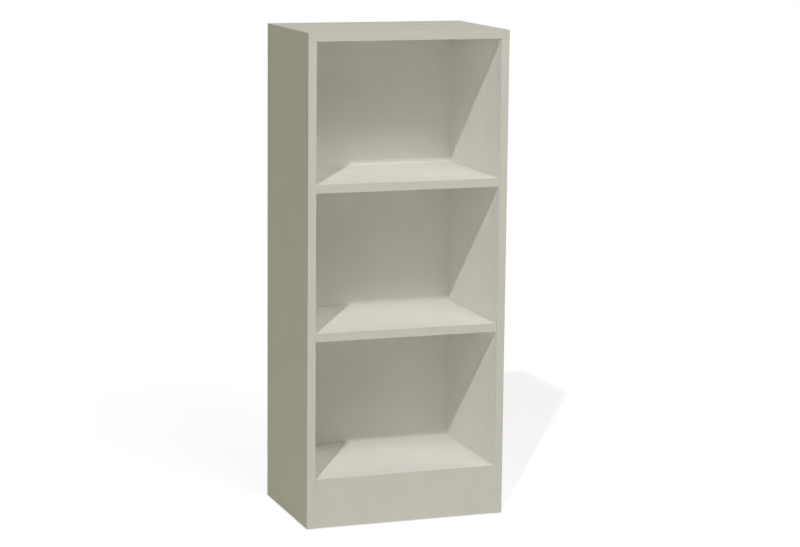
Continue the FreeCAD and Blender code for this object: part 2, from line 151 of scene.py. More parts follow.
def length(name, description, millimetres):
    """Length property with its default in millimetres."""
    return FloatProperty(
        name=name, description=description, unit="LENGTH", min=0, precision=5, default=millimetres * MM
    )


def position(name, description, spot):
    """Place property with its default in metres."""
    return FloatVectorProperty(name=name, description=description, subtype="TRANSLATION", default=spot)


def power(name, description, watts):
    """Lamp power property with its default in watts."""
    return FloatProperty(name=name, description=description, unit="POWER", min=0, default=watts)


class BookcaseFinishes(bpy.types.PropertyGroup):
    """Colours of the bookcase's finishes. The melamine and edging tones are copies of one print, some lighter
    or darker per face as painted light or painted shade
    """

    # Painted light: the top's upper face gets a slightly lighter copy of the melamine tone than the fronts
    # and the sides
    top: colour("Melamine, top", "Printed upper face of the top", "#CBC7B7")
    # Painted shade: the sides' outer faces and the top's end strips get a darker, yellower copy of the
    # melamine tone, as the side in shade looks
    sides: colour("Melamine, sides", "Yellower outer faces of the sides, and the top's end strips", "#C4BFA8")
    # Painted light: the faces that look inwards get a much paler copy of the melamine tone, so that the
    # compartments read brighter, as more light in them would
    inside: colour("Melamine, inside", "Paler printed faces of the boards that look inwards", "#EAE8E0")
    edging: colour("Edging", "Strips on the front edges, and front of the plinth", "#C7C4B7")
    # Painted shade: the strip on the front of the top gets a slightly darker copy of the edging tone than the
    # other front strips
    top_edging: colour("Edging, top", "Slightly darker strip on the front of the top", "#C4C1B4")
    # Painted light: the back's inner face gets the same paler copy of the melamine tone as the inside faces
    back: colour("Back, inside", "Printed face of the back, which the compartments show", "#EAE8E0")
    fibre: colour("Back, behind", "Bare fibreboard on the rear face of the back", "#8C6A48")
    chip: colour("Chipboard", "Middle tone of the wood chips on a bare edge", "#B58F60")
    zinc: colour("Zinc", "Die-cast cams", "#B4B5B4")
    steel: colour("Steel", "Plated nails, screws, bolts, pins and brackets", "#C3C4C6")
    beech: colour("Beech", "Fluted dowels", "#C9A376")
    cap: colour("Caps", "Moulded cover caps over the upper cams", "#EAE8E0")
    glide: colour("Glides", "Moulded glides under the sides", "#D8D6CE")


class BookcaseSizes(bpy.types.PropertyGroup):
    """Sizes of the bookcase's small details"""

    edge_radius: length("Edge radius", "Rounding of an edging strip's outer edges", 0.4)
    edge_steps: IntProperty(name="Edge steps", description="Flats round each rounded edge", default=5, min=1)
    easing: length("Easing", "Rounding of the corners of small fittings", 0.25)
    thread_pitch: length("Thread pitch", "Rise of a bolt's thread in one turn", 1.8)
    thread_depth: length("Thread depth", "Crest to root of a bolt's thread", 0.45)
    flutes: IntProperty(name="Flutes", description="Grooves round a dowel", default=16, min=3)
    flute_depth: length("Flute depth", "Depth of a dowel's grooves", 0.35)
    decor_grain: length("Decor grain", "Pebbles of the pressed face, drawn coarse enough to show", 1.6)
    chip_size: length("Chip size", "Wood chips in the core of a board", 3.2)


class BookcaseStage(bpy.types.PropertyGroup):
    """Camera and light of the stage"""

    camera: position("Camera", "Place of the camera", (-1.6886, -4.8143, 1.3976))
    aim: FloatVectorProperty(
        name="Aim",
        description="Turn of the camera to the left, upwards and to the right of upright",
        subtype="EULER",
        default=[math.radians(angle) for angle in (-19.6944, -9.8327, -0.5799)],
    )
    lens: FloatProperty(name="Lens", description="Focal length of the camera", unit="CAMERA", default=108.31)
    key_place: position("Key place", "Far lamp that throws the sharp shadows", (-26.25, -45.45, 45.9))
    key_power: power("Key power", "Power of the key lamp", 20700)
    canopy_place: position("Canopy place", "Large soft box over the front right", (1.5, -4.5, 5.0))
    canopy_power: power("Canopy power", "Power of that soft box", 90)
    front_place: position("Front place", "Narrow soft box that reaches the backs", (0.4, -2.7, 3.25))
    front_power: power("Front power", "Power of that soft box", 32)
    fill_place: position("Fill place", "Soft box low at the front left", (-5.0, -5.0, 1.6))
    fill_power: power("Fill power", "Power of that soft box", 33)
    rear_place: position("Rear place", "Soft box behind, which lights the back", (1.0, 6.0, 1.7))
    rear_power: power("Rear power", "Power of that soft box", 118)
    floor: colour("Floor", "White floor, as it throws light back at the bookcase", "#F2F2F2")
    floor_shade: colour("Floor shade", "Part of the seen floor's tone that takes shadows", "#BCBCBC")
    floor_glow: FloatProperty(name="Floor glow", description="Rest of that tone", min=0, default=0.75)


def add(tree, kind, links=None, **settings):
    """Adds a node with its own settings; each of its named inputs gets a value or another node's output."""
    node = tree.nodes.new(kind)
    for name, value in settings.items():
        setattr(node, name, value)
    for name, value in (links or {}).items():
        if isinstance(value, bpy.types.NodeSocket):
            tree.links.new(value, node.inputs[name])
        else:
            node.inputs[name].default_value = value
    return node


def opaque(values, gain=1.0):
    """Four-part colour from a three-part one, lightened or darkened by a factor."""
    return [min(1.0, value * gain) for value in values] + [1.0]


def new_material(name):
    """Empty node material, with its tree and the object's own coordinates."""
    material = bpy.data.materials.new(name)
    material.use_nodes = True
    tree = material.node_tree
    tree.nodes.clear()
    return material, tree, add(tree, "ShaderNodeTexCoord").outputs


def dress(tree, tone, gloss, height, relief, strength=0.6, metallic=0.0):
    """Ends a material with a colour, a roughness, and heights that span a relief."""
    bump = add(tree, "ShaderNodeBump", {"Height": height, "Distance": relief, "Strength": strength})
    links = {"Base Color": tone, "Roughness": gloss, "Normal": bump.outputs[0], "Metallic": metallic}
    shader = add(tree, "ShaderNodeBsdfPrincipled", links)
    add(tree, "ShaderNodeOutputMaterial", {"Surface": shader.outputs[0]})


def dress_both(tree, printed, bare, face):
    """Ends a material with one finish where printed is 1 and another where it is 0. Each finish is a colour,
    a roughness, a height and a relief."""
    tone = add(tree, "ShaderNodeMix", {0: printed, 6: bare[0], 7: face[0]}, data_type="RGBA").outputs[2]
    others = [
        add(tree, "ShaderNodeMix", {0: printed, 2: first, 3: second}, data_type="FLOAT").outputs[0]
        for first, second in zip(bare[1:], face[1:])
    ]
    dress(tree, tone, *others)


def melamine_face(tree, where, tone, sizes):
    """Pressed melamine face: a plain print with a faint cloud in it and a fine satin pebble, which only shows
    as a soft sheen from a step away."""
    cloud = add(tree, "ShaderNodeTexNoise", {"Vector": where, "Scale": 1 / (60 * MM), "Detail": 3.0})
    pebble = add(tree, "ShaderNodeTexNoise", {"Vector": where, "Scale": 1 / sizes.decor_grain, "Detail": 2.0})
    gain = add(
        tree,
        "ShaderNodeMapRange",
        {"Value": cloud.outputs["Fac"], "From Min": 0.3, "From Max": 0.7, "To Min": 0.98, "To Max": 1.02},
    )
    clouded = add(
        tree,
        "ShaderNodeMix",
        {0: 1.0, 6: tone, 7: gain.outputs[0]},
        data_type="RGBA",
        blend_type="MULTIPLY",
    )
    speckled = add(
        tree,
        "ShaderNodeMix",
        {0: 0.025, 6: clouded.outputs[2], 7: pebble.outputs["Color"]},
        data_type="RGBA",
        blend_type="SOFT_LIGHT",
    )
    gloss = add(tree, "ShaderNodeMapRange", {"Value": pebble.outputs["Fac"], "To Min": 0.70, "To Max": 0.82})
    return speckled.outputs[2], gloss.outputs[0], pebble.outputs["Fac"], PEBBLE_RELIEF


def bare_chips(tree, where, axis, depth, tone, sizes):
    """Cut chipboard edge: coarse flat chips in the core, fine ones near both faces, and cracks between,
    darkened as painted shade.
    """
    stretch = [1.0, 1.0, 1.0]
    stretch[axis] = CHIP_FLATNESS
    flat = add(tree, "ShaderNodeMapping", {"Vector": where, "Scale": stretch})
    cells = {"Vector": flat.outputs[0], "Scale": 1 / sizes.chip_size}
    chips = add(tree, "ShaderNodeTexVoronoi", cells)
    gaps = add(tree, "ShaderNodeTexVoronoi", cells, feature="DISTANCE_TO_EDGE")
    grit = {"Vector": where, "Scale": 3 / sizes.chip_size, "Detail": 4.0, "Roughness": 0.7}
    fines = add(tree, "ShaderNodeTexNoise", grit).outputs["Fac"]
    chance = add(tree, "ShaderNodeSeparateColor", {"Color": chips.outputs["Color"]})
    core = add(tree, "ShaderNodeValToRGB", {"Fac": chance.outputs[0]})
    dark, light = core.color_ramp.elements
    dark.color, light.color = opaque(tone, 0.62), opaque(tone, 1.28)
    dust = add(tree, "ShaderNodeValToRGB", {"Fac": fines})
    dark, light = dust.color_ramp.elements
    dark.position, dark.color = 0.3, opaque(tone, 0.78)
    light.position, light.color = 0.7, opaque(tone, 1.08)
    layer = add(tree, "ShaderNodeMapRange", {"Value": depth, "From Min": CORE[0], "From Max": CORE[1]})
    layered = add(
        tree,
        "ShaderNodeMix",
        {0: layer.outputs[0], 6: core.outputs[0], 7: dust.outputs[0]},
        data_type="RGBA",
    )
    # Painted shade: the gaps between chips are darkened down to about half, as shade in these recesses would;
    # their depth itself comes from the bump
    crack = add(
        tree, "ShaderNodeMapRange", {"Value": gaps.outputs["Distance"], "From Max": 0.08, "To Min": 0.55}
    ).outputs[0]
    shade_in_cracks = add(
        tree,
        "ShaderNodeMix",
        {0: 1.0, 6: layered.outputs[2], 7: crack},
        data_type="RGBA",
        blend_type="MULTIPLY",
    )
    height = add(tree, "ShaderNodeMath", {0: crack, 1: fines}, operation="MULTIPLY")
    return shade_in_cracks.outputs[2], 0.85, height.outputs[0], CHIP_RELIEF


def melamine_board(node, axis, way, outer_tone, finishes, sizes):
    """Melamine-faced chipboard: pale satin print on the two faces, the outward face of some boards in a
    lighter or darker copy of it as painted light or painted shade, and bare chips on every cut edge.
    """
    material, tree, coordinates = new_material("melamine_faced_chipboard_" + node)
    low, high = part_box(node)
    to_middle = {"Vector": coordinates["Object"], "Location": (low + high) / -2}
    where = add(tree, "ShaderNodeMapping", to_middle).outputs[0]
    facing = add(tree, "ShaderNodeSeparateXYZ", {"Vector": coordinates["Normal"]}).outputs[axis]
    across = add(tree, "ShaderNodeSeparateXYZ", {"Vector": where}).outputs[axis]
    depth = add(tree, "ShaderNodeMath", {0: across}, operation="ABSOLUTE").outputs[0]
    tone = opaque(finishes.inside)
    # Painted light and shade: faces that look out of the bookcase get their own lighter or darker copy of the
    # print, and those that look in get the paler inside copy
    if way:
        past = "GREATER_THAN" if way > 0 else "LESS_THAN"
        outward = add(tree, "ShaderNodeMath", {0: facing, 1: FACING * way}, operation=past)
        painted_light_tones = {0: outward.outputs[0], 6: tone, 7: opaque(outer_tone)}
        tone = add(tree, "ShaderNodeMix", painted_light_tones, data_type="RGBA").outputs[2]
    either_way = add(tree, "ShaderNodeMath", {0: facing}, operation="ABSOLUTE")
    flat = add(tree, "ShaderNodeMath", {0: either_way.outputs[0], 1: FACING}, operation="GREATER_THAN")
    core_half = (high[axis] - low[axis]) / 2 - SKIN
    skin = add(tree, "ShaderNodeMath", {0: depth, 1: core_half}, operation="GREATER_THAN")
    printed = add(tree, "ShaderNodeMath", {0: flat.outputs[0], 1: skin.outputs[0]}, operation="MAXIMUM")
    face = melamine_face(tree, where, tone, sizes)
    bare = bare_chips(tree, where, axis, depth, finishes.chip, sizes)
    dress_both(tree, printed.outputs[0], bare, face)
    return material


def fibreboard_back(finishes, sizes):
    """Hardboard: a thin printed face inside, and bare brown felted fibres behind and on its edges."""
    material, tree, coordinates = new_material("hardboard_printed_one_side")
    where = coordinates["Object"]
    face = melamine_face(tree, where, opaque(finishes.back), sizes)
    upright = add(tree, "ShaderNodeMapping", {"Vector": where, "Scale": (1.0, 1.0, 0.35)})
    strands = {"Vector": upright.outputs[0], "Scale": 1 / (2.5 * MM), "Detail": 5.0, "Roughness": 0.7}
    felt = add(tree, "ShaderNodeTexNoise", strands).outputs["Fac"]
    blotch = add(tree, "ShaderNodeTexNoise", {"Vector": where, "Scale": 1 / (90 * MM), "Detail": 3.0})
    fibres = add(tree, "ShaderNodeValToRGB", {"Fac": felt})
    dark, light = fibres.color_ramp.elements
    dark.position, dark.color = 0.3, opaque(finishes.fibre, 0.72)
    light.position, light.color = 0.72, opaque(finishes.fibre, 1.22)
    blotched = add(
        tree,
        "ShaderNodeMix",
        {0: 0.22, 6: fibres.outputs[0], 7: blotch.outputs["Fac"]},
        data_type="RGBA",
        blend_type="OVERLAY",
    )
    facing = add(tree, "ShaderNodeSeparateXYZ", {"Vector": coordinates["Normal"]})
    printed = add(tree, "ShaderNodeMath", {0: facing.outputs[1], 1: -FACING}, operation="LESS_THAN")
    bare = (blotched.outputs[2], 0.8, felt, FELT_RELIEF)
    dress_both(tree, printed.outputs[0], bare, face)
    return material


def moulded_plastic(name, tone, grain, gloss):
    """Extruded or moulded plastic: one even colour with a faint eggshell grain and a soft gloss."""
    material, tree, coordinates = new_material(name)
    where = coordinates["Object"]
    texture = add(tree, "ShaderNodeTexNoise", {"Vector": where, "Scale": 1 / grain, "Detail": 2.0})
    eggshell = texture.outputs["Fac"]
    cloud = add(tree, "ShaderNodeTexNoise", {"Vector": where, "Scale": 1 / (80 * MM)})
    shades = {0: cloud.outputs["Fac"], 6: opaque(tone, 0.98), 7: opaque(tone, 1.02)}
    shade = add(tree, "ShaderNodeMix", shades, data_type="RGBA")
    limits = {"To Min": gloss - 0.06, "To Max": gloss + 0.06}
    shine = add(tree, "ShaderNodeMapRange", {"Value": eggshell, **limits})
    dress(tree, shade.outputs[2], shine.outputs[0], eggshell, PEBBLE_RELIEF)
    return material


def plated_metal(name, tone, grain, gloss):
    """Plated steel or cast zinc: a bright metal whose skin is mottled, so that its shine varies between two
    roughnesses."""
    material, tree, coordinates = new_material(name)
    skin = {"Vector": coordinates["Object"], "Scale": 1 / grain, "Detail": 4.0}
    mottle = add(tree, "ShaderNodeTexNoise", skin).outputs["Fac"]
    shades = {0: mottle, 6: opaque(tone, 0.88), 7: opaque(tone, 1.06)}
    shade = add(tree, "ShaderNodeMix", shades, data_type="RGBA").outputs[2]
    shine = add(tree, "ShaderNodeMapRange", {"Value": mottle, "To Min": gloss[0], "To Max": gloss[1]})
    dress(tree, shade, shine.outputs[0], mottle, PLATING_RELIEF, strength=0.5, metallic=1.0)
    return material


def beech_wood(finishes):
    """Turned beech: pale pinkish wood with fine flecks, left dry and unvarnished."""
    material, tree, coordinates = new_material("beech_turned")
    flecks = {"Vector": coordinates["Object"], "Scale": 1 / (1.2 * MM), "Detail": 5.0, "Distortion": 0.6}
    grain = add(tree, "ShaderNodeTexNoise", flecks).outputs["Fac"]
    shades = {0: grain, 6: opaque(finishes.beech, 0.8), 7: opaque(finishes.beech, 1.12)}
    shade = add(tree, "ShaderNodeMix", shades, data_type="RGBA")
    dress(tree, shade.outputs[2], 0.75, grain, WOOD_RELIEF, strength=1.0)
    return material


def finish_node(node, material):
    """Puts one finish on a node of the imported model."""
    if node not in NODES:
        raise RuntimeError(f"the packed model has no node {node}")
    NODES[node].data.materials.clear()
    NODES[node].data.materials.append(material)


def new_tree(name, inputs):
    """Geometry tree with named inputs, and its input sockets."""
    tree = bpy.data.node_groups.new(name, "GeometryNodeTree")
    tree.interface.new_socket("Geometry", in_out="INPUT", socket_type="NodeSocketGeometry")
    tree.interface.new_socket("Geometry", in_out="OUTPUT", socket_type="NodeSocketGeometry")
    for label, kind in inputs.items():
        tree.interface.new_socket(label, in_out="INPUT", socket_type="NodeSocket" + kind)
    return tree, add(tree, "NodeGroupInput").outputs


def end_tree(tree, geometry, material):
    """Realizes what a tree made, gives it its material and sends it out."""
    real = add(tree, "GeometryNodeRealizeInstances", {"Geometry": geometry})
    dressed = add(tree, "GeometryNodeSetMaterial", {"Geometry": real.outputs[0], "Material": material})
    add(tree, "NodeGroupOutput", {"Geometry": dressed.outputs[0]})
    return tree


def strip_tree():
    """Strip with two rounded outer edges, swept along the middle line of the edge that it covers."""
    tree, given = new_tree(
        "Edging strip",
        {"Thickness": "Float", "Width": "Float", "Rounding": "Float", "Steps": "Int", "Material": "Material"},
    )
    section = add(
        tree,
        "GeometryNodeCurvePrimitiveQuadrilateral",
        {"Width": given["Thickness"], "Height": given["Width"]},
    )
    corner = add(tree, "GeometryNodeInputPosition")
    across = add(tree, "ShaderNodeSeparateXYZ", {"Vector": corner.outputs[0]})
    outer = add(tree, "ShaderNodeMath", {0: across.outputs[0], 1: 0.0}, operation="GREATER_THAN")
    radius = add(tree, "ShaderNodeMath", {0: outer.outputs[0], 1: given["Rounding"]}, operation="MULTIPLY")
    rounded = add(
        tree,
        "GeometryNodeFilletCurve",
        {"Curve": section.outputs[0], "Count": given["Steps"], "Radius": radius.outputs[0]},
        mode="POLY",
    )
    half = add(tree, "ShaderNodeMath", {0: given["Thickness"], 1: 0.5}, operation="MULTIPLY")
    proud = add(tree, "ShaderNodeCombineXYZ", {"X": half.outputs[0]})
    seated = add(
        tree,
        "GeometryNodeTransform",
        {"Geometry": rounded.outputs[0], "Translation": proud.outputs[0]},
    )
    path = add(tree, "GeometryNodeMeshToCurve", {"Mesh": given["Geometry"]})
    outward = add(tree, "GeometryNodeInputNamedAttribute", {"Name": "outward"}, data_type="FLOAT_VECTOR")
    turned_path = add(
        tree,
        "GeometryNodeSetCurveNormal",
        {"Curve": path.outputs[0], "Normal": outward.outputs[0]},
        mode="FREE",
    )
    strip = add(
        tree,
        "GeometryNodeCurveToMesh",
        {"Curve": turned_path.outputs[0], "Profile Curve": seated.outputs[0], "Fill Caps": True},
    )
    flat = add(tree, "GeometryNodeSetShadeSmooth", {"Geometry": strip.outputs[0], "Shade Smooth": False})
    return end_tree(tree, flat.outputs[0], given["Material"])


def fittings_tree():
    """One fitting on each given point, its Z turned to along and its X to up, then spun about its axis."""
    tree, given = new_tree(
        "Fittings on their places",
        {"Fitting": "Object", "Spin": "Float", "Seed": "Int", "Material": "Material"},
    )
    along = add(tree, "GeometryNodeInputNamedAttribute", {"Name": "along"}, data_type="FLOAT_VECTOR")
    up = add(tree, "GeometryNodeInputNamedAttribute", {"Name": "up"}, data_type="FLOAT_VECTOR")
    square = add(
        tree,
        "FunctionNodeAxesToRotation",
        {0: along.outputs[0], 1: up.outputs[0]},
        primary_axis="Z",
        secondary_axis="X",
    )
    chance = add(tree, "FunctionNodeRandomValue", {2: 0.0, 3: 1.0, "Seed": given["Seed"]}, data_type="FLOAT")
    angle = add(tree, "ShaderNodeMath", {0: chance.outputs[1], 1: given["Spin"]}, operation="MULTIPLY")
    spin = add(tree, "FunctionNodeAxisAngleToRotation", {"Axis": (0, 0, 1), "Angle": angle.outputs[0]})
    spun = add(
        tree,
        "FunctionNodeRotateRotation",
        {"Rotation": square.outputs[0], "Rotate By": spin.outputs[0]},
        rotation_space="LOCAL",
    )
    fitting = add(tree, "GeometryNodeObjectInfo", {"Object": given["Fitting"]}).outputs["Geometry"]
    copies = add(
        tree,
        "GeometryNodeInstanceOnPoints",
        {"Points": given["Geometry"], "Instance": fitting, "Rotation": spun.outputs[0]},
    )
    return end_tree(tree, copies.outputs[0], given["Material"])


def grown(name, points, edges, attributes, tree, values):
    """Plain mesh object that a geometry tree makes from points, edges and vectors on the points."""
    mesh = bpy.data.meshes.new(name)
    mesh.from_pydata(points, edges, [])
    for label, vectors in attributes.items():
        attribute = mesh.attributes.new(label, "FLOAT_VECTOR", "POINT")
        attribute.data.foreach_set("vector", [part for vector in vectors for part in vector])
    piece = bpy.data.objects.new(name, mesh)
    bpy.context.scene.collection.objects.link(piece)
    modifier = piece.modifiers.new(tree.name, "NODES")
    modifier.node_group = tree
    for item in tree.interface.items_tree:
        if item.in_out == "INPUT" and item.name in values:
            modifier[item.identifier] = values[item.name]
    result = bpy.data.meshes.new_from_object(piece.evaluated_get(bpy.context.evaluated_depsgraph_get()))
    piece.modifiers.remove(modifier)
    piece.data = result
    bpy.data.meshes.remove(mesh)
    if not result.polygons:
        raise RuntimeError(f"{name} came out empty")
    return piece


def stand_for(piece, node):
    """The piece rides on the node's body, and the node is hidden, so that the piece is shown in its place."""
    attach(piece, BODY_OF[node])
    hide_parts(node)


def islands(node):
    """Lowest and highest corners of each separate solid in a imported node."""
    mesh = bmesh.new()
    mesh.from_mesh(NODES[node].data)
    bmesh.ops.remove_doubles(mesh, verts=mesh.verts, dist=WELD)
    waiting, boxes = set(mesh.verts), []
    while waiting:
        reached = [waiting.pop()]
        for vertex in reached:
            near = {edge.other_vert(vertex) for edge in vertex.link_edges} & waiting
            waiting -= near
            reached += near
        corners = list(zip(*(vertex.co for vertex in reached)))
        boxes.append((Vector(map(min, corners)), Vector(map(max, corners))))
    mesh.free()
    return sorted(boxes, key=lambda box: [round(part, 5) for part in box[0]])


def metres(outline):
    """Outline in metres from one in millimetres."""
    return [(radius * MM, height * MM) for radius, height in outline]


def eased(outline, radius, steps=3, run=0.4):
    """Outline whose corners are rounded, each up to a share of the runs beside it."""
    points = [Vector(point) for point in outline]
    rounded = [points[0]]
    for before, corner, after in zip(points, points[1:], points[2:]):
        cut = min(radius, run * (corner - before).length, run * (after - corner).length)
        first = corner + (before - corner).normalized() * cut
        last = corner + (after - corner).normalized() * cut
        for step in range(steps + 1):
            share = step / steps
            bend = (first * (1 - share) + corner * share) * (1 - share)
            rounded.append(bend + (corner * (1 - share) + last * share) * share)
    return rounded + [points[-1]]


def thread_cut(height, angle, pitch, depth):
    """How far a thread is cut in at a height and an angle."""
    phase = (height / pitch - angle / TURN) % 1
    return depth * (1 - abs(2 * phase - 1))


def turned(outline, sides, relief=None):
    """Closed solid turned about Z from (radius, height) points in metres, the first and last on the axis.

    relief gives how far the surface is cut in at a height and an angle.
    """
    mesh = bmesh.new()
    rings = []
    for radius, height in outline:
        if radius < WELD:
            rings.append([mesh.verts.new((0, 0, height))])
            continue
        ring = []
        for side in range(sides):
            angle = TURN * side / sides
            reach = radius - (relief(height, angle) if relief else 0)
            ring.append(mesh.verts.new((reach * math.cos(angle), reach * math.sin(angle), height)))
        rings.append(ring)
    for lower, upper in zip(rings, rings[1:]):
        for side in range(sides):
            following = (side + 1) % sides
            corners = [
                lower[side % len(lower)],
                lower[following % len(lower)],
                upper[following % len(upper)],
                upper[side % len(upper)],
            ]
            mesh.faces.new(dict.fromkeys(corners))
    bmesh.ops.recalc_face_normals(mesh, faces=mesh.faces)
    return mesh


def template(name, mesh):
    """Object from a finished mesh, smooth but for its sharp corners."""
    data = bpy.data.meshes.new(name)
    mesh.to_mesh(data)
    mesh.free()
    data.shade_smooth()
    data.set_sharp_from_angle(angle=SHARP)
    piece = bpy.data.objects.new(name, data)
    bpy.context.scene.collection.objects.link(piece)
    return piece


def cross(size, width):
    """Outline of a driver's cross, from the length and the width of its bars."""
    half, thick = size / 2, width / 2
    arm = [Vector(point) for point in ((half, -thick), (half, thick), (thick, thick))]
    return [Matrix.Rotation(TURN * turn / 4, 2) @ point for turn in range(4) for point in arm]


def cut_away(piece, outline, low, high):
    """Cuts a prism of an outline, between two heights on its axis, out of a fitting."""
    mesh = bmesh.new()
    ends = [[mesh.verts.new((*point, height)) for point in outline] for height in (low, high)]
    for ring in ends:
        mesh.faces.new(ring)
    for side in range(len(outline)):
        mesh.faces.new([ends[0][side - 1], ends[0][side], ends[1][side], ends[1][side - 1]])
    bmesh.ops.recalc_face_normals(mesh, faces=mesh.faces)
    cutter = template(piece.name + "_cutter", mesh)
    cut = piece.modifiers.new("cut", "BOOLEAN")
    cut.operation, cut.solver, cut.object = "DIFFERENCE", "EXACT", cutter
    result = bpy.data.meshes.new_from_object(piece.evaluated_get(bpy.context.evaluated_depsgraph_get()))
    piece.modifiers.remove(cut)
    result.set_sharp_from_angle(angle=SHARP)
    piece.data = result
    bpy.data.objects.remove(cutter)


def set_out(nodes, fitting, along, start, material, tree, spin=0.0, shift=(0, 0, 0)):
    """Puts a fitting on each solid of some nodes. along is the way its axis points, or None for the solid's
    longest way, or a function of the solid's middle; start is how much of it lies behind its own zero."""
    fitting.data.materials.clear()
    fitting.data.materials.append(material)
    for number, node in enumerate(nodes):
        points, alongs, ups = [], [], []
        for low, high in islands(node):
            middle, size = (low + high) / 2, high - low
            way = Vector((0, 0, 0))
            if along is None:
                way[max(range(3), key=lambda axis: size[axis])] = 1
            else:
                way = Vector(along(middle) if callable(along) else along)
            behind = abs(way.dot(size)) / 2
            points.append(middle - way * (behind - start) + Vector(shift))
            alongs.append(way)
            ups.append(Vector((1, 0, 0)) if way.z else Vector((0, 0, 1)))
        values = {"Fitting": fitting, "Spin": spin, "Seed": FIRST_SEED + number, "Material": material}
        piece = grown(node + "_dressed", points, [], {"along": alongs, "up": ups}, tree, values)
        stand_for(piece, node)
    bpy.data.objects.remove(fitting)


def inward(middle):
    """Way from a side panel to the middle of the bookcase."""
    return (-math.copysign(1, middle.x), 0, 0)


class BOOKCASE_OT_boards(bpy.types.Operator):
    """Gives each board its pale faces and its bare chipboard edges"""

    bl_idname = "bookcase.boards"
    bl_label = "Finish Boards"

    def execute(self, context):
        finishes, sizes = context.scene.bookcase_finishes, context.scene.bookcase_sizes
        for node, (axis, way, tone) in BOARDS.items():
            finish_node(node, melamine_board(node, axis, way, getattr(finishes, tone), finishes, sizes))
        return {"FINISHED"}


class BOOKCASE_OT_back(bpy.types.Operator):
    """Gives the back its printed face and its bare fibres"""

    bl_idname = "bookcase.back"
    bl_label = "Finish Back"

    def execute(self, context):
        finishes, sizes = context.scene.bookcase_finishes, context.scene.bookcase_sizes
        finish_node("back_panel", fibreboard_back(finishes, sizes))
        return {"FINISHED"}


class BOOKCASE_OT_edging(bpy.types.Operator):
    """Sweeps an edging strip along each visible edge"""

    bl_idname = "bookcase.edging"
    bl_label = "Lay Edging"

    def execute(self, context):
        finishes, sizes = context.scene.bookcase_finishes, context.scene.bookcase_sizes
        strips = {
            tone: moulded_plastic("abs_extruded_" + tone, getattr(finishes, tone), grain=1.8 * MM, gloss=0.72)
            for tone in ("edging", "top_edging", "sides")
        }
        tree = strip_tree()
        for node in EDGINGS:
            low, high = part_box(node)
            thin, wide, far = sorted(range(3), key=lambda axis: high[axis] - low[axis])
            side = math.copysign(1, low[thin] + high[thin])
            outward = Vector((0, 0, 0))
            outward[thin] = side
            start = (low + high) / 2
            start[thin] = low[thin] if side > 0 else high[thin]
            end = start.copy()
            start[far], end[far] = low[far], high[far]
            # Painted light and shade: the top's end strips take the darker, yellower sides tone, and its
            # front strip a slightly darker copy of the edging tone
            tone = "sides" if thin == 0 else "top_edging" if node.startswith("top") else "edging"
            values = {
                "Thickness": high[thin] - low[thin],
                "Width": high[wide] - low[wide],
                "Rounding": sizes.edge_radius,
                "Steps": sizes.edge_steps,
                "Material": strips[tone],
            }
            strip = grown(node + "_strip", [start, end], [(0, 1)], {"outward": [outward] * 2}, tree, values)
            stand_for(strip, node)
        return {"FINISHED"}


class BOOKCASE_OT_cam_fittings(bpy.types.Operator):
    """Finishes the cams, and sets out their threaded bolts and cover caps"""

    bl_idname = "bookcase.cam_fittings"
    bl_label = "Set Cam Fittings"

    below_top = 30 * MM  # reach of the top's bolts under it
    bolt_tip = 11  # millimetres of a bolt behind its collar
    cap_peg = 2.2  # millimetres of a cap in its cam

    def execute(self, context):
        finishes, sizes = context.scene.bookcase_finishes, context.scene.bookcase_sizes
        zinc = plated_metal("zinc_die_cast", finishes.zinc, grain=2.0 * MM, gloss=(0.38, 0.55))
        steel = plated_metal("steel_zinc_plated_bolts", finishes.steel, grain=1.5 * MM, gloss=(0.28, 0.42))
        plastic = moulded_plastic("polypropylene_cover_cap", finishes.cap, grain=1.2 * MM, gloss=0.6)
        for node in CAMS:
            finish_node(node, zinc)
        tree = fittings_tree()
        set_out(BOLTS, self.bolt(sizes), self.bolt_way, self.bolt_tip * MM, steel, tree, TURN)
        set_out(["cam_caps"], self.cap(sizes), inward, self.cap_peg * MM, plastic, tree)
        return {"FINISHED"}

    def bolt_way(self, middle):
        """Bolts point down from the top, and inwards from the sides."""
        return (0, 0, -1) if middle.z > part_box("top_panel")[0].z - self.below_top else inward(middle)

    def bolt(self, sizes):
        low, high, radius = -10.5, -1.0, 2.5
        count = round((high - low) * MM / sizes.thread_pitch * THREAD_ROWS)
        thread = [(radius, low + (high - low) * row / count) for row in range(count + 1)]
        tip = [(0, -self.bolt_tip), (2.0, -self.bolt_tip)]
        shank = [(radius, 0), (3.8, 0), (3.8, 1.5), (3.0, 1.5), (3.0, 15.1), (1.7, 15.1)]
        head = [(1.7, 20.187), (3.2, 20.187), (3.2, 23.687), (0, 23.687)]

        def relief(height, angle):
            within = low * MM <= height <= high * MM
            return thread_cut(height, angle, sizes.thread_pitch, sizes.thread_depth) if within else 0

        return template("bolt", turned(metres(tip + thread + shank + head), sides=24, relief=relief))

    def cap(self, sizes):
        peg = [(0, -self.cap_peg), (1.85, -self.cap_peg), (1.85, 0)]
        disc = [(8.6, 0), (8.6, 0.55), (8.2, 0.9), (0, 0.9)]
        return template("cap", turned(eased(metres(peg + disc), sizes.easing), sides=48))


class BOOKCASE_OT_dowels(bpy.types.Operator):
    """Sets out the fluted dowels"""

    bl_idname = "bookcase.dowels"
    bl_label = "Set Dowels"

    def execute(self, context):
        finishes, sizes = context.scene.bookcase_finishes, context.scene.bookcase_sizes
        outline = metres([(0, 0), (3, 0), (4, 1), (4, 1.6), (4, 28.4), (4, 29), (3, 30), (0, 30)])
        fluted = (1.5 * MM, 28.5 * MM)

        def relief(height, angle):
            within = fluted[0] < height < fluted[1]
            return sizes.flute_depth * max(0, math.cos(sizes.flutes * angle)) if within else 0

        dowel = template("dowel", turned(outline, sides=4 * sizes.flutes, relief=relief))
        set_out(DOWELS, dowel, None, 0, beech_wood(finishes), fittings_tree(), TURN)
        return {"FINISHED"}


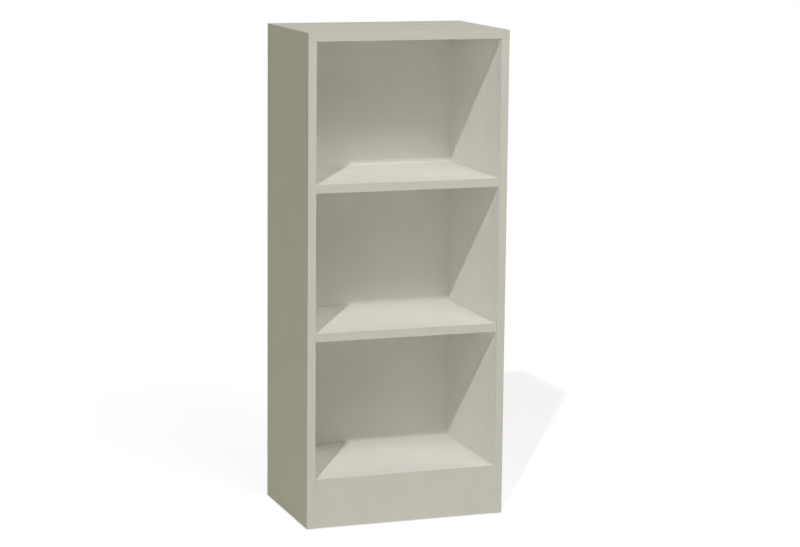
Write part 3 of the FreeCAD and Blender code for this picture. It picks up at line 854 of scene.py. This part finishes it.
class BOOKCASE_OT_shelf_pins(bpy.types.Operator):
    """Sets out the pins under the loose shelf"""

    bl_idname = "bookcase.shelf_pins"
    bl_label = "Set Shelf Pins"

    def execute(self, context):
        finishes, sizes = context.scene.bookcase_finishes, context.scene.bookcase_sizes
        reach, collar, seat = 9, 4.5, 2.4  # length each way, collar's radius, and axis to the flat on top
        stem = [(0, -reach), (2.5, -reach), (2.5, 0), (collar, 0), (collar, 0.8)]
        peg = [(3.5, 0.8), (3.5, reach), (0, reach)]
        pin = template("pin", turned(eased(metres(stem + peg), sizes.easing), sides=40))
        past = 2 * collar
        above_seat = metres([(seat, -past), (past, -past), (past, past), (seat, past)])
        cut_away(pin, above_seat, low=0, high=2 * reach * MM)
        steel = plated_metal("steel_nickel_plated_pins", finishes.steel, grain=1.5 * MM, gloss=(0.2, 0.32))
        lift = (0, 0, (collar - seat) / 2 * MM)
        set_out(["shelf_pins"], pin, inward, reach * MM, steel, fittings_tree(), shift=lift)
        return {"FINISHED"}


class BOOKCASE_OT_nails(bpy.types.Operator):
    """Sets out the nails of the back and of the glides"""

    bl_idname = "bookcase.nails"
    bl_label = "Set Nails"

    def execute(self, context):
        finishes, sizes = context.scene.bookcase_finishes, context.scene.bookcase_sizes
        steel = plated_metal("steel_bright_nails", finishes.steel, grain=1.2 * MM, gloss=(0.3, 0.45))
        tree = fittings_tree()
        outline = metres([(0, 0.1), (1.2, 0), (2.0, 0), (2.0, 0.7), (0.8, 0.7), (0.8, 17.5), (0, 20)])
        nail = template("nail", turned(eased(outline, sizes.easing), sides=20))
        set_out(["back_nails"], nail, (0, -1, 0), 0, steel, tree, TURN)
        outline = metres([(0, 0), (3.5, 0), (3.5, 0.8), (1.0, 0.8), (1.0, 14.8), (0, 17.8)])
        nail = template("glide_nail", turned(outline, sides=24))
        set_out(["glide_nails"], nail, (0, 0, 1), 0, steel, tree, TURN)
        return {"FINISHED"}


class BOOKCASE_OT_wall_brackets(bpy.types.Operator):
    """Finishes the wall brackets and sets out their screws"""

    bl_idname = "bookcase.wall_brackets"
    bl_label = "Set Wall Brackets"

    head = 2.2  # millimetres of a screw under its bracket
    pitch, depth = 1.5 * MM, 0.4 * MM  # of a screw's thread

    def execute(self, context):
        finishes, sizes = context.scene.bookcase_finishes, context.scene.bookcase_sizes
        steel = plated_metal("steel_zinc_plated_strip", finishes.steel, grain=4.0 * MM, gloss=(0.3, 0.45))
        finish_node("wall_brackets", steel)
        set_out(
            ["bracket_screws"], self.screw(sizes), (0, 0, 1), self.head * MM, steel, fittings_tree(), TURN
        )
        return {"FINISHED"}

    def screw(self, sizes):
        low, high, radius = 1, 11, 1.75
        count = round((high - low) * MM / self.pitch * THREAD_ROWS)
        thread = [(radius, low + (high - low) * row / count) for row in range(count + 1)]
        dome = [(0, -self.head), (2.0, -self.head), (3.0, -1.7), (3.4, -0.8), (3.4, 0)]
        neck = [(radius, 0), (radius, low)]

        def relief(height, angle):
            within = low * MM < height < high * MM
            return thread_cut(height, angle, self.pitch, self.depth) if within else 0

        outline = eased(metres(dome + neck), sizes.easing)[:-1] + metres(thread + [(0, 14)])
        screw = template("screw", turned(outline, sides=24, relief=relief))
        cut_away(screw, cross(size=4.0 * MM, width=1.0 * MM), low=-(self.head + 1.0) * MM, high=-1.0 * MM)
        return screw


class BOOKCASE_OT_glides(bpy.types.Operator):
    """Sets out the glides under the sides"""

    bl_idname = "bookcase.glides"
    bl_label = "Set Glides"

    def execute(self, context):
        finishes, sizes = context.scene.bookcase_finishes, context.scene.bookcase_sizes
        plastic = moulded_plastic("polythene_glide", finishes.glide, grain=1.5 * MM, gloss=0.5)
        skirt = metres([(0, 0), (6.5, 0), (7.6, 1.2), (8.0, 3.0), (1.0, 3.0)])
        socket = metres([(1.0, 2.0), (3.5, 2.0), (3.5, 1.2), (0, 1.2)])
        glide = template("glide", turned(eased(skirt, 2 * sizes.easing) + socket, sides=48))
        set_out(["floor_glides"], glide, (0, 0, 1), 0, plastic, fittings_tree())
        return {"FINISHED"}


class BOOKCASE_OT_stage(bpy.types.Operator):
    """Makes the floor, the lamps, the world and the camera"""

    bl_idname = "bookcase.stage"
    bl_label = "Set Stage"

    def execute(self, context):
        stage = context.scene.bookcase_stage
        self.camera(context.scene, stage)
        for name, size in LAMPS.items():
            self.lamp(context.scene, stage, name, size)
        self.world(context.scene)
        self.floor(context.scene, stage)
        context.scene.view_settings.view_transform = "Standard"
        return {"FINISHED"}

    @staticmethod
    def camera(scene, stage):
        data = bpy.data.cameras.new("camera")
        data.sensor_fit, data.sensor_width, data.lens = "HORIZONTAL", SENSOR, stage.lens
        camera = bpy.data.objects.new("camera", data)
        left, upward, tilt = stage.aim
        camera.matrix_world = (
            Matrix.Translation(stage.camera)
            @ Matrix.Rotation(left, 4, "Z")
            @ Matrix.Rotation(upward, 4, "X")
            @ Matrix.Rotation(tilt, 4, "Y")
            @ Matrix.Rotation(TURN / 4, 4, "X")
        )
        scene.collection.objects.link(camera)
        scene.camera = camera

    @staticmethod
    def lamp(scene, stage, name, size):
        data = bpy.data.lights.new(name, "AREA")
        data.shape, data.energy = "RECTANGLE", getattr(stage, name + "_power")
        data.size, data.size_y = size
        lamp = bpy.data.objects.new(name, data)
        lamp.visible_camera = False
        lamp.location = getattr(stage, name + "_place")
        aim = Vector((0, 0, CAD_BOX[1][2] / 2)) - lamp.location
        lamp.rotation_euler = aim.to_track_quat("-Z", "Y").to_euler()
        scene.collection.objects.link(lamp)

    @staticmethod
    def seen(tree):
        """One for what the camera sees, straight or in gloss and glass, and zero for light on its way."""
        rays = add(tree, "ShaderNodeLightPath").outputs
        shown = rays["Is Camera Ray"]
        for ray in ("Is Glossy Ray", "Is Transmission Ray"):
            shown = add(tree, "ShaderNodeMath", {0: shown, 1: rays[ray]}, operation="MAXIMUM").outputs[0]
        return shown

    def world(self, scene):
        world = bpy.data.worlds.new("studio")
        world.use_nodes = True
        tree = world.node_tree
        tree.nodes.clear()
        white = add(tree, "ShaderNodeBackground", {"Color": (1, 1, 1, 1), "Strength": self.seen(tree)})
        add(tree, "ShaderNodeOutputWorld", {"Surface": white.outputs[0]})
        scene.world = world

    def floor(self, scene, stage):
        """White floor that lights the bookcase evenly. What the camera sees of it is paler, so that only the
        shadow shows, and fades out into the background."""
        mesh = bpy.data.meshes.new("floor")
        ways = [(-1, -1), (1, -1), (1, 1), (-1, 1)]
        corners = [(x * FLOOR_HALF, y * FLOOR_HALF, FLOOR_LEVEL) for x, y in ways]
        mesh.from_pydata(corners, [], [range(len(corners))])
        floor = bpy.data.objects.new("floor", mesh)
        scene.collection.objects.link(floor)
        material, tree, coordinates = new_material("pale_studio_floor")
        matt = add(tree, "ShaderNodeBsdfDiffuse", {"Color": opaque(stage.floor)})
        shade = add(tree, "ShaderNodeBsdfDiffuse", {"Color": opaque(stage.floor_shade)})
        glow = add(tree, "ShaderNodeEmission", {"Color": (1, 1, 1, 1), "Strength": stage.floor_glow})
        bright = add(tree, "ShaderNodeAddShader", {0: shade.outputs[0], 1: glow.outputs[0]})
        away = add(tree, "ShaderNodeVectorMath", {0: coordinates["Object"]}, operation="LENGTH")
        fade = add(
            tree,
            "ShaderNodeMapRange",
            {"Value": away.outputs["Value"], "From Min": FLOOR_FADE[0], "From Max": FLOOR_FADE[1]},
            interpolation_type="SMOOTHSTEP",
        )
        clear = add(tree, "ShaderNodeBsdfTransparent")
        by_fade = {0: fade.outputs[0], 1: bright.outputs[0], 2: clear.outputs[0]}
        faded = add(tree, "ShaderNodeMixShader", by_fade)
        by_ray = {0: self.seen(tree), 1: matt.outputs[0], 2: faded.outputs[0]}
        both = add(tree, "ShaderNodeMixShader", by_ray)
        add(tree, "ShaderNodeOutputMaterial", {"Surface": both.outputs[0]})
        mesh.materials.append(material)


STEPS = [
    BOOKCASE_OT_boards,
    BOOKCASE_OT_back,
    BOOKCASE_OT_edging,
    BOOKCASE_OT_cam_fittings,
    BOOKCASE_OT_dowels,
    BOOKCASE_OT_shelf_pins,
    BOOKCASE_OT_nails,
    BOOKCASE_OT_wall_brackets,
    BOOKCASE_OT_glides,
    BOOKCASE_OT_stage,
]
GROUPS = {
    "bookcase_finishes": BookcaseFinishes,
    "bookcase_sizes": BookcaseSizes,
    "bookcase_stage": BookcaseStage,
}


class BOOKCASE_PT_sidebar(bpy.types.Panel):
    """Lists the bookcase's settings and the steps that make it"""

    bl_idname = "BOOKCASE_PT_sidebar"
    bl_label = "Bookcase"
    bl_space_type = "VIEW_3D"
    bl_region_type = "UI"
    bl_category = "Bookcase"

    def draw(self, context):
        for group, kind in GROUPS.items():
            box = self.layout.box()
            for name in kind.__annotations__:
                box.prop(getattr(context.scene, group), name)
        for step in STEPS:
            self.layout.operator(step.bl_idname)


def register():
    for kind in [*GROUPS.values(), *STEPS, BOOKCASE_PT_sidebar]:
        bpy.utils.register_class(kind)
    for group, kind in GROUPS.items():
        setattr(bpy.types.Scene, group, PointerProperty(type=kind))


def unregister():
    for group in GROUPS:
        delattr(bpy.types.Scene, group)
    for kind in reversed([*GROUPS.values(), *STEPS, BOOKCASE_PT_sidebar]):
        bpy.utils.unregister_class(kind)


def main():
    register()
    for step in STEPS:
        area, name = step.bl_idname.split(".")
        getattr(getattr(bpy.ops, area), name)()


if __name__ == "__main__":
    main()
